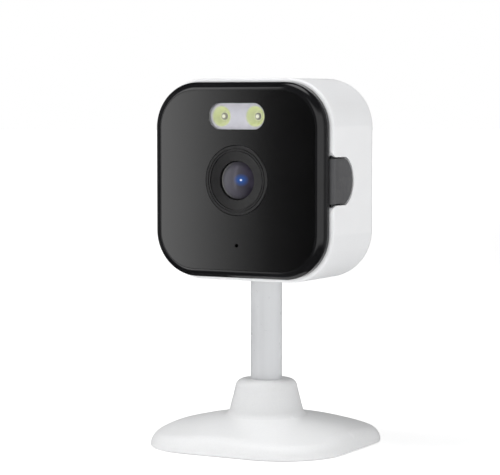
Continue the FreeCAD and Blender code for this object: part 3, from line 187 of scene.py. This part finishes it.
def white_plastic(name, colour, rough):
    """Satin moulded plastic: fine spark-eroded grain, slow tone changes and slightly polished edges."""
    paint = Paint(name)
    cloud = paint.noise(18 * MM, 2.0)
    tone = paint.blend(paint.spread(cloud, 0.0, 1.0), colour, tuple(c * 0.965 for c in colour))
    tone = paint.blend(paint.spread(paint.noise(0.5 * MM), 0.0, 0.10), tone, (0.55, 0.55, 0.56))
    tone = paint.blend(paint.join(paint.edges(), 0.25, "MULTIPLY"), tone, (0.93, 0.93, 0.935))
    grain = paint.noise(0.16 * MM, 2.0)
    ripple = paint.noise(5 * MM, 2.0)
    relief = paint.bump(grain, 0.004 * MM, 0.7)
    relief = paint.bump(ripple, 0.02 * MM, 0.5, relief)
    gloss = paint.join(paint.spread(paint.noise(3 * MM), -0.05, 0.06), rough)
    return paint.finish(Base_Color=tone, Roughness=gloss, Normal=relief, IOR=1.5,
                        Subsurface_Weight=0.04, Subsurface_Radius=(0.8 * MM, 0.75 * MM, 0.7 * MM))


def painted_tube():
    """Satin white paint on a drawn tube, with faint lengthwise marks under the paint."""
    paint = Paint("painted_tube")
    drawn = paint.noise(1.0, 3.0, place=paint.stretch((1400.0, 1400.0, 40.0)))
    peel = paint.noise(0.7 * MM, 2.0)
    tone = paint.blend(paint.spread(drawn, 0.0, 0.35), (0.72, 0.73, 0.745), (0.67, 0.68, 0.695))
    relief = paint.bump(peel, 0.01 * MM, 0.6)
    relief = paint.bump(drawn, 0.003 * MM, 0.5, relief)
    gloss = paint.spread(paint.noise(2 * MM), 0.27, 0.36)
    return paint.finish(Base_Color=tone, Roughness=gloss, Normal=relief, Coat_Weight=0.15, Coat_Roughness=0.2)


def black_gloss():
    """Glossy black polycarbonate with very slight flow waves, hairline scuffs and paler worn edges."""
    paint = Paint("black_gloss")
    scuffs = paint.noise(1.0, 4.0, 0.7, place=paint.stretch((900.0, 900.0, 90.0)))
    tone = paint.clouds(6 * MM, (0.0055, 0.0055, 0.006), (0.009, 0.009, 0.010))
    tone = paint.blend(paint.join(paint.edges(0.51, 0.6), 0.3, "MULTIPLY"), tone, (0.022, 0.022, 0.023))
    gloss = paint.join(paint.spread(scuffs, 0.0, 0.05, 0.45, 0.75), 0.09)
    relief = paint.bump(paint.noise(2.5 * MM, 2.0), 0.002 * MM, 0.5)
    return paint.finish(Base_Color=tone, Roughness=gloss, Normal=relief, IOR=1.5)


def smoked_panel():
    """Smoked front: smoother than the rim, with a very fine grain."""
    paint = Paint("smoked_panel")
    grain = paint.noise(0.12 * MM, 2.0)
    tone = paint.clouds(9 * MM, (0.0018, 0.0018, 0.0020), (0.0030, 0.0030, 0.0032))
    gloss = paint.spread(paint.noise(1.2 * MM, 4.0), 0.054, 0.066)
    relief = paint.bump(grain, 0.00015 * MM, 0.5)
    return paint.finish(Base_Color=tone, Roughness=gloss, Normal=relief, IOR=1.56)


def soft_charcoal():
    """Soft-touch cover: matte, finely pebbled, a little dusty and paler where it's handled."""
    paint = Paint("soft_charcoal")
    pebbles = paint.cells(0.22 * MM)
    tone = paint.clouds(2.5 * MM, (0.040, 0.040, 0.043), (0.052, 0.052, 0.055))
    tone = paint.blend(paint.join(paint.edges(0.5, 0.58), 0.4, "MULTIPLY"), tone, (0.11, 0.11, 0.115))
    relief = paint.bump(pebbles, 0.012 * MM, 0.6)
    return paint.finish(Base_Color=tone, Roughness=paint.spread(paint.noise(MM), 0.55, 0.68), Normal=relief,
                        Sheen_Weight=0.15)


def black_trim():
    """Lens ring: satin black with fine turned rings round its axis."""
    paint = Paint("black_trim")
    radius = distance_from(paint, middle("lens_trim_ring"))
    rings = paint.add("ShaderNodeMath", operation="SINE")
    paint.plug(rings, {0: paint.join(radius, 2 * math.pi / (0.11 * MM), "MULTIPLY")})
    tone = paint.clouds(1.5 * MM, (0.009, 0.009, 0.0095), (0.014, 0.0135, 0.014))
    relief = paint.bump(rings.outputs[0], 0.0006 * MM, 0.5)
    gloss = paint.spread(paint.noise(0.8 * MM), 0.30, 0.38)
    return paint.finish(Base_Color=tone, Roughness=gloss, Normal=relief)


def flat_black(name, level, rough):
    """Matte black moulding with a fine grain."""
    paint = Paint(name)
    tone = paint.clouds(MM, (level,) * 3, (level * 1.5,) * 3)
    relief = paint.bump(paint.noise(0.1 * MM), 0.004 * MM, 0.6)
    gloss = paint.spread(paint.noise(0.7 * MM), rough - 0.05, rough + 0.05)
    return paint.finish(Base_Color=tone, Roughness=gloss, Normal=relief)


def front_glass():
    """Domed front glass over a dark barrel: grey-violet, with a painted reflection that is lighter on the
    left and darker to the right, a painted blue reflection spot with a painted white glint, and a painted
    highlight on the left rim.
    """
    paint = Paint("front_glass")
    low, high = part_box("front_lens")
    reach = (high.x - low.x) / 2
    centre = middle("front_lens")
    across = paint.add("ShaderNodeSeparateXYZ")
    paint.plug(across, {0: paint.place})
    # Painted reflection: the glass is lighter on the left, where the light is, and darker to the right.
    side = paint.spread(across.outputs["X"], 0.0, 1.0, -0.75 * reach, 0.75 * reach)
    smear = paint.spread(paint.noise(2.5 * MM, 3.0), 0.0, 0.3)
    tone = paint.blend(side, (0.115, 0.115, 0.125), (0.020, 0.018, 0.026))
    tone = paint.blend(smear, tone, (0.070, 0.055, 0.095))
    # Painted reflection: a blue spot right of the middle, standing in for the blue reflection of the lens
    # coatings.
    aside = Vector((0.26, 0.0, 0.03)) * reach
    painted_reflection_spot = distance_from(paint, centre + aside, (1, 0, 1.3))
    blue = paint.spread(painted_reflection_spot, 0.85, 0.0, 0.14 * reach, 0.46 * reach)
    tone = paint.blend(blue, tone, (0.025, 0.085, 0.30))
    # Painted highlight: a small white glint in the middle of the blue spot.
    painted_glint = paint.spread(painted_reflection_spot, 0.9, 0.0, 0.03 * reach, 0.09 * reach)
    tone = paint.blend(painted_glint, tone, (0.80, 0.85, 1.0))
    # Painted highlight: a pale crescent round the rim on the left side.
    rim = paint.spread(distance_from(paint, centre), 0.0, 1.0, 0.88 * reach, 0.97 * reach)
    left = paint.spread(across.outputs["X"], 1.0, 0.0, -0.95 * reach, -0.25 * reach)
    tone = paint.blend(paint.join(rim, left, "MULTIPLY"), tone, (0.26, 0.26, 0.25))
    return paint.finish(Base_Color=tone, Roughness=paint.spread(smear, 0.05, 0.07, 0.0, 0.3), IOR=1.5,
                        Specular_Tint=(0.80, 0.76, 0.95, 1.0), Specular_IOR_Level=0.16,
                        Normal=paint.bump(smear, 0.0003 * MM, 0.5), Coat_Weight=0.0)


def coated_glass(name, tint, colour=(0.9, 0.9, 0.95)):
    """Optical glass with a thin coating that tints what it reflects."""
    paint = Paint(name)
    smear = paint.noise(1.5 * MM, 3.0)
    return paint.finish(Base_Color=paint.blend(paint.spread(smear, 0.0, 0.3), colour, (0.8, 0.8, 0.84)),
                        Roughness=paint.spread(smear, 0.02, 0.05), Transmission_Weight=1.0, IOR=1.62,
                        Specular_Tint=(*tint, 1.0), Coat_Weight=0.6, Coat_Tint=(*tint, 1.0),
                        Coat_Roughness=0.03)


def pupil_glass():
    """Inner element behind the iris, with the strong blue of a multi-layer coating and a faint painted glow
    though it is no lamp.
    """
    paint = Paint("pupil_glass")
    radius = distance_from(paint, middle("middle_lens"))
    bands = paint.spread(radius, 0.0, 1.0, 0.4 * MM, 2.0 * MM)
    tone = paint.blend(bands, (0.05, 0.20, 0.62), (0.02, 0.09, 0.34))
    tone = paint.blend(paint.spread(paint.noise(0.5 * MM), 0.0, 0.4), tone, (0.10, 0.10, 0.42))
    gloss = paint.spread(paint.noise(0.6 * MM), 0.30, 0.45)
    # Painted glow: the glass emits its own colour though it is no lamp.
    return paint.finish(Base_Color=tone, Roughness=gloss, Metallic=0.2, Emission_Color=tone,
                        Emission_Strength=0.25)


def clear_window():
    """Clear cover of the spotlight, slightly hazy from moulding."""
    paint = Paint("clear_window")
    haze = paint.noise(1.5 * MM, 3.0)
    return paint.finish(Base_Color=paint.blend(haze, (0.80, 0.80, 0.84), (0.72, 0.72, 0.78)),
                        Roughness=paint.spread(haze, 0.06, 0.14), Alpha=paint.spread(haze, 0.10, 0.18),
                        Normal=paint.bump(haze, 0.004 * MM, 0.4))


def reflector():
    """Pale tray with a knurled surface, turning yellow-green in the cups round the lamps, with a faint
    painted glow though it is no lamp.
    """
    paint = Paint("reflector")
    nearest = from_lamps(paint)
    bands = 0.31                                  # a wave texture's scale for one band in each unit
    pitch = 0.42 * MM
    waves = []
    for turn in (math.radians(45), math.radians(-45)):
        mapping = paint.add("ShaderNodeMapping")
        paint.plug(mapping, {"Vector": paint.place, "Rotation": (0.0, turn, 0.0)})
        wave = paint.add("ShaderNodeTexWave", wave_type="BANDS", bands_direction="X")
        paint.plug(wave, {"Vector": mapping.outputs[0], "Scale": bands / pitch})
        waves.append(wave.outputs["Fac"])
    knurl = paint.join(waves[0], waves[1], "MULTIPLY")
    inside = paint.spread(nearest, 1.0, 0.0, 2.45 * MM, 2.85 * MM)
    pale = paint.clouds(2 * MM, (0.56, 0.55, 0.60), (0.49, 0.49, 0.54))
    pale = paint.blend(paint.spread(knurl, 0.0, 0.35, 0.2, 0.9), pale, (0.86, 0.86, 0.88))
    glow = paint.clouds(1.1 * MM, (0.56, 0.64, 0.13), (0.74, 0.82, 0.30))
    tone = paint.blend(inside, pale, glow)
    relief = paint.bump(knurl, 0.05 * MM, 0.5)
    # Painted glow: the tray emits its own colour though it is no lamp.
    return paint.finish(Base_Color=tone, Roughness=0.3, Normal=relief, Emission_Color=tone,
                        Emission_Strength=0.10)


def lamp():
    """White lamp: a bright middle under clear resin with a darker olive ring of phosphor."""
    paint = Paint("lamp")
    nearest = from_lamps(paint)
    ring = paint.spread(nearest, 0.0, 1.0, 0.46 * MM, 0.56 * MM)
    tone = paint.blend(ring, (0.98, 0.97, 0.78), (0.10, 0.095, 0.008))
    outer = paint.spread(nearest, 0.0, 1.0, 0.92 * MM, 1.04 * MM)
    tone = paint.blend(outer, tone, (0.78, 0.84, 0.36))
    return paint.finish(Base_Color=tone, Roughness=0.25, Emission_Color=tone, Emission_Strength=0.15,
                        Normal=paint.bump(paint.noise(0.2 * MM), 0.01 * MM, 0.5), Coat_Weight=0.2)


def metal(name, colour, rough, drawn=(500.0, 500.0, 60.0)):
    """Bare metal with drawn or brushed marks."""
    paint = Paint(name)
    marks = paint.noise(1.0, 4.0, 0.6, place=paint.stretch(drawn))
    tone = paint.blend(paint.spread(marks, 0.0, 0.5), colour, tuple(c * 0.75 for c in colour))
    relief = paint.bump(marks, 0.004 * MM, 0.4)
    gloss = paint.spread(marks, rough - 0.06, rough + 0.08)
    return paint.finish(Base_Color=tone, Roughness=gloss, Metallic=1.0, Normal=relief)


def board():
    """Solder mask over faint glass weave."""
    paint = Paint("board")
    weave = paint.noise(0.4 * MM)
    tone = paint.blend(weave, (0.01, 0.07, 0.03), (0.02, 0.12, 0.05))
    return paint.finish(Base_Color=tone, Roughness=paint.spread(weave, 0.3, 0.42),
                        Normal=paint.bump(weave, 0.01 * MM, 0.5))


def rubber():
    """Black rubber with a fine stipple and a little dust."""
    paint = Paint("rubber")
    stipple = paint.cells(0.5 * MM)
    dust = paint.spread(paint.noise(4 * MM, 4.0), 0.0, 0.25, 0.5, 0.8)
    tone = paint.blend(dust, (0.018, 0.018, 0.018), (0.09, 0.088, 0.083))
    return paint.finish(Base_Color=tone, Roughness=paint.spread(stipple, 0.72, 0.85, 0.0, 0.6),
                        Normal=paint.bump(stipple, 0.03 * MM, 0.6))


def plain(name, first, second, rough):
    """Any small moulded or cut piece: two tones and a fine grain."""
    paint = Paint(name)
    cloud = paint.noise(1.5 * MM, 3.0)
    tone = paint.blend(cloud, first, second)
    gloss = paint.spread(cloud, rough, rough + 0.1)
    relief = paint.bump(paint.noise(0.2 * MM), 0.006 * MM, 0.5)
    return paint.finish(Base_Color=tone, Roughness=gloss, Normal=relief)


def dress_nodes():
    wear("rear_shell", "screw_caps")(white_plastic("white_shell", (0.80, 0.805, 0.815), 0.36))
    wear("foot_shell", "base_plate")(white_plastic("white_foot", (0.80, 0.805, 0.81), 0.33))
    wear("post_tube")(painted_tube())
    wear("front_body")(black_gloss())
    wear("front_panel")(smoked_panel())
    wear("side_cover")(soft_charcoal())
    wear("lens_trim_ring")(black_trim())
    wear("front_lens")(front_glass())
    wear("rear_lens")(coated_glass("rear_glass", (0.6, 0.8, 1.0)))
    wear("middle_lens")(pupil_glass())
    wear("lens_barrel", "lens_spacer", "lens_holder")(flat_black("barrel_black", 0.010, 0.45))
    wear("light_window")(clear_window())
    wear("light_reflector")(reflector())
    wear("spot_leds")(lamp())
    wear("filter_housing", "reset_button", "reset_switch", "image_sensor", "processor",
         "speaker")(flat_black("flat_black", 0.012, 0.6))
    wear("main_board", "spot_board", "infrared_board", "usb_board")(board())
    wear("card_socket", "filter_coil", "microphone", "radio_shield", "usb_socket")(
        metal("tin_plate", (0.72, 0.71, 0.69), 0.28))
    wear("housing_screws", "holder_screws", "socket_screws", "post_screw", "thrust_washer", "wave_washer",
         "base_screws")(metal("zinc_plate", (0.62, 0.62, 0.60), 0.30))
    wear("ball_stud")(metal("bright_steel", (0.66, 0.66, 0.68), 0.14))
    wear("cover_pin")(metal("black_steel", (0.05, 0.05, 0.052), 0.3))
    wear("heat_spreader")(metal("aluminium", (0.80, 0.80, 0.81), 0.32, (60.0, 700.0, 700.0)))
    wear("ballast")(metal("raw_iron", (0.20, 0.19, 0.18), 0.55, (300.0, 300.0, 300.0)))
    wear("rubber_pad", "housing_seal", "microphone_boot")(rubber())
    wear("ball_socket", "ball_liner", "hub_bush")(
        plain("acetal", (0.74, 0.72, 0.64), (0.66, 0.64, 0.56), 0.4))
    wear("thermal_pad")(plain("thermal_pad", (0.35, 0.42, 0.50), (0.28, 0.34, 0.42), 0.7))
    wear("radio_antenna")(plain("film", (0.45, 0.22, 0.04), (0.36, 0.16, 0.03), 0.35))
    wear("speaker_gasket")(plain("foam", (0.03, 0.03, 0.03), (0.05, 0.05, 0.05), 0.85))
    wear("night_filter")(coated_glass("filter_glass", (0.5, 0.9, 0.8), (0.45, 0.75, 0.72)))
    wear("infrared_leds", "light_sensor", "status_light")(
        plain("dark_resin", (0.10, 0.08, 0.12), (0.07, 0.06, 0.09), 0.1))


# ---------------------------------------------------------------- studio

AMBIENT = 0.46                # brightness of the surroundings for matte surfaces
GLOSS_STRENGTH = 4.0          # brightness of what gloss sees, for a level of one
GLOSS_OVERHEAD = 0.55         # level of the patch straight above
# level of the surroundings that gloss sees, by degrees from -Y towards -X
GLOSS_SURROUNDINGS = (
    (-180, 0.04), (-125, 0.04), (-85, 0.24), (-8, 0.24), (3, 0.01), (26.5, 0.003), (27.5, 0.006),
    (27.9, 0.014), (28.15, 0.029), (28.47, 0.061), (28.8, 0.097), (29.1, 0.144), (29.4, 0.202),
    (29.74, 0.286), (30.06, 0.36), (30.4, 0.42), (30.7, 0.48), (31.33, 0.60), (31.6, 0.70), (33, 0.74),
    (36, 0.62), (39, 0.03), (140, 0.03), (180, 0.04),
)


def floor():
    """Plain pale ground under the pad. It glows more away from the object, where less light falls."""
    mesh = bpy.data.meshes.new("ground")
    shape = bmesh.new()
    bmesh.ops.create_circle(shape, cap_ends=True, cap_tris=False, segments=96, radius=6.0)
    shape.to_mesh(mesh)
    shape.free()
    ground = bpy.data.objects.new("ground", mesh)
    bpy.context.scene.collection.objects.link(ground)
    low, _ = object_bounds()
    ground.location.z = low.z
    paint = Paint("ground")
    tone = paint.blend(paint.noise(0.4), (0.93, 0.93, 0.93), (0.95, 0.95, 0.95))
    glow = paint.spread(distance_from(paint, (0.0, 0.0, 0.0)), 0.26, 0.75, 0.10, 0.60)
    paint.finish(Base_Color=tone, Roughness=0.9, Emission_Color=(1.0, 1.0, 1.0, 1.0), Emission_Strength=glow)
    mesh.materials.append(paint.material)
    ground.visible_glossy = False
    ground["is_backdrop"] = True


def toward(angle, height):
    """Direction of a place in the studio, in degrees from -Y towards -X and upwards."""
    turn, lift = math.radians(angle), math.radians(height)
    return Vector((-math.sin(turn) * math.cos(lift), -math.cos(turn) * math.cos(lift), math.sin(lift)))


def softbox(name, direction, distance, side, power):
    """A square area light aimed at the middle of the object, which gloss doesn't see."""
    light = bpy.data.lights.new(name, "AREA")
    light.shape = "SQUARE"
    light.size = side
    light.energy = power
    place = bpy.data.objects.new(name, light)
    bpy.context.scene.collection.objects.link(place)
    low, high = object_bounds()
    place.location = (low + high) / 2 + direction * distance
    place.rotation_euler = (-direction).to_track_quat("-Z", "Y").to_euler()
    place.visible_glossy = False


def world():
    """White surroundings. Gloss sees a bright patch on the -X side and one overhead, and little else."""
    white = (1.0, 1.0, 1.0, 1.0)
    surroundings = bpy.data.worlds.new("studio")
    surroundings.use_nodes = True
    bpy.context.scene.world = surroundings
    tree = surroundings.node_tree
    background = tree.nodes["Background"]
    output = tree.nodes["World Output"]

    def add(kind, **settings):
        node = tree.nodes.new(kind)
        for key, value in settings.items():
            setattr(node, key, value)
        return node

    def maths(operation, first, second):
        """Joins two numbers. MULTIPLY_ADD adds half to their product."""
        node = add("ShaderNodeMath", operation=operation)
        node.inputs[2].default_value = 0.5
        for slot, value in enumerate((first, second)):
            if isinstance(value, (int, float)):
                node.inputs[slot].default_value = value
            else:
                tree.links.new(value, node.inputs[slot])
        return node.outputs[0]

    def faded(value, start, end, low=0.0, high=1.0):
        """Goes smoothly from low to high as the value goes from start to end."""
        node = add("ShaderNodeMapRange", interpolation_type="SMOOTHSTEP")
        tree.links.new(value, node.inputs["Value"])
        for key, number in (("From Min", start), ("From Max", end), ("To Min", low), ("To Max", high)):
            node.inputs[key].default_value = number
        return node.outputs["Result"]

    split = add("ShaderNodeSeparateXYZ")
    tree.links.new(add("ShaderNodeTexCoord").outputs["Generated"], split.inputs[0])
    ahead = maths("MULTIPLY", split.outputs["Y"], -1.0)
    left = maths("MULTIPLY", split.outputs["X"], -1.0)
    bearing = maths("ARCTAN2", left, ahead)
    ramp = add("ShaderNodeValToRGB")
    tree.links.new(maths("MULTIPLY_ADD", bearing, 0.5 / math.pi), ramp.inputs["Fac"])
    while len(ramp.color_ramp.elements) < len(GLOSS_SURROUNDINGS):
        ramp.color_ramp.elements.new(0.5)
    for element, (angle, level) in zip(ramp.color_ramp.elements, GLOSS_SURROUNDINGS):
        element.position = (angle + 180.0) / 360.0
        element.color = (level, level, level, 1.0)
    height = split.outputs["Z"]
    above = faded(height, 0.35, 0.62, 1.0, 0.02)
    below = faded(height, -0.45, -0.22, 0.03, 1.0)
    level_band = maths("MULTIPLY", above, below)
    around = maths("MULTIPLY", ramp.outputs["Color"], level_band)
    gloss_level = maths("ADD", around, faded(height, 0.90, 0.98, 0.0, GLOSS_OVERHEAD))
    gloss = add("ShaderNodeBackground")
    gloss.inputs["Color"].default_value = white
    tree.links.new(maths("MULTIPLY", gloss_level, GLOSS_STRENGTH), gloss.inputs["Strength"])
    background.inputs["Color"].default_value = white
    background.inputs["Strength"].default_value = AMBIENT
    bright = add("ShaderNodeBackground")
    bright.inputs["Color"].default_value = white
    rays = add("ShaderNodeLightPath")
    first = add("ShaderNodeMixShader")
    tree.links.new(rays.outputs["Is Glossy Ray"], first.inputs[0])
    tree.links.new(background.outputs[0], first.inputs[1])
    tree.links.new(gloss.outputs[0], first.inputs[2])
    second = add("ShaderNodeMixShader")
    tree.links.new(rays.outputs["Is Camera Ray"], second.inputs[0])
    tree.links.new(first.outputs[0], second.inputs[1])
    tree.links.new(bright.outputs[0], second.inputs[2])
    tree.links.new(second.outputs[0], output.inputs["Surface"])


def camera():
    """Long lens on the +X side, a little below the height of the head's top."""
    low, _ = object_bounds()
    bearing = math.radians(28.64)                 # from -Y towards +X
    pitch = math.radians(3.81)                    # downwards
    distance, height, aside = 0.547, 91.7 * MM, 4.42 * MM
    lens_axis = Vector((-math.sin(bearing), math.cos(bearing), 0.0))
    sideways = Vector((math.cos(bearing), math.sin(bearing), 0.0))
    data = bpy.data.cameras.new("camera")
    view = bpy.data.objects.new("camera", data)
    bpy.context.scene.collection.objects.link(view)
    view.location = -lens_axis * distance - sideways * aside
    view.location.z = low.z + height
    data.lens = 147.3
    data.sensor_width = 36.0
    aim = lens_axis * math.cos(pitch) - Vector((0, 0, math.sin(pitch)))
    view.rotation_euler = aim.to_track_quat("-Z", "Y").to_euler()
    bpy.context.scene.camera = view


def studio():
    """Surroundings, ground, lights and camera."""
    bpy.context.scene.view_settings.view_transform = "Standard"
    world()
    floor()
    softbox("key", toward(50, 58), distance=0.9, side=0.35, power=3.9)
    softbox("top", toward(10, 80), distance=0.8, side=0.6, power=1.2)
    softbox("fill", toward(-80, 52), distance=0.9, side=0.6, power=2.4)
    camera()


dress_nodes()
studio()
